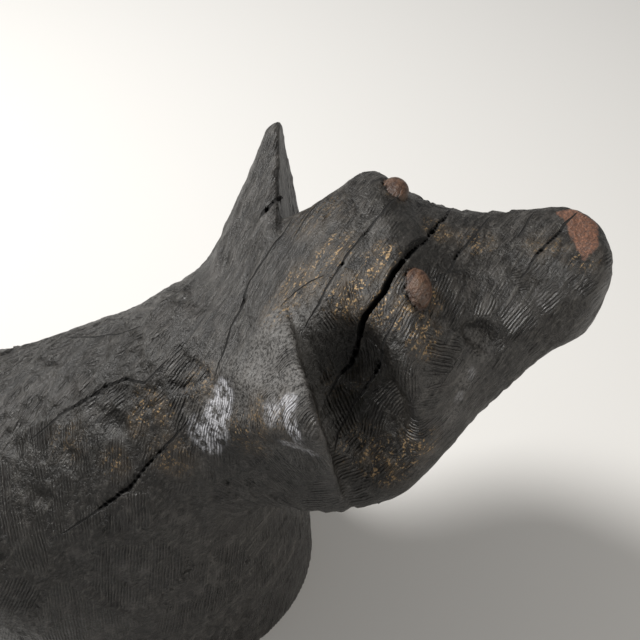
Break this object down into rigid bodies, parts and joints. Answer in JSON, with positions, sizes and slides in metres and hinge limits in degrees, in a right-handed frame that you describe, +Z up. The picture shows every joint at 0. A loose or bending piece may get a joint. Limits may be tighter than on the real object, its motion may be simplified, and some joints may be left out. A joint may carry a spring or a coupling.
{
  "type": "carved bear bust",
  "caption": "Bear's head, neck and shoulders carved from one log with a chain saw, blackened, cracked along the grain, cut flat below to stand on its underside.",
  "frame": {"origin": "middle of the flat cut under the shoulders, that the bust stands on", "axes": "+Z up out of the flat cut, the bear looks along -Y, its right side is -X"},
  "size_m": [0.3593, 0.6021, 0.4456],
  "materials": {
    "blackened_wood": "scorched and weathered, saw-cut, with drying cracks and ochre flecks"
  },
  "bodies": {
    "root": {"carved_bear": "blackened_wood"}
  },
  "joints": []
}
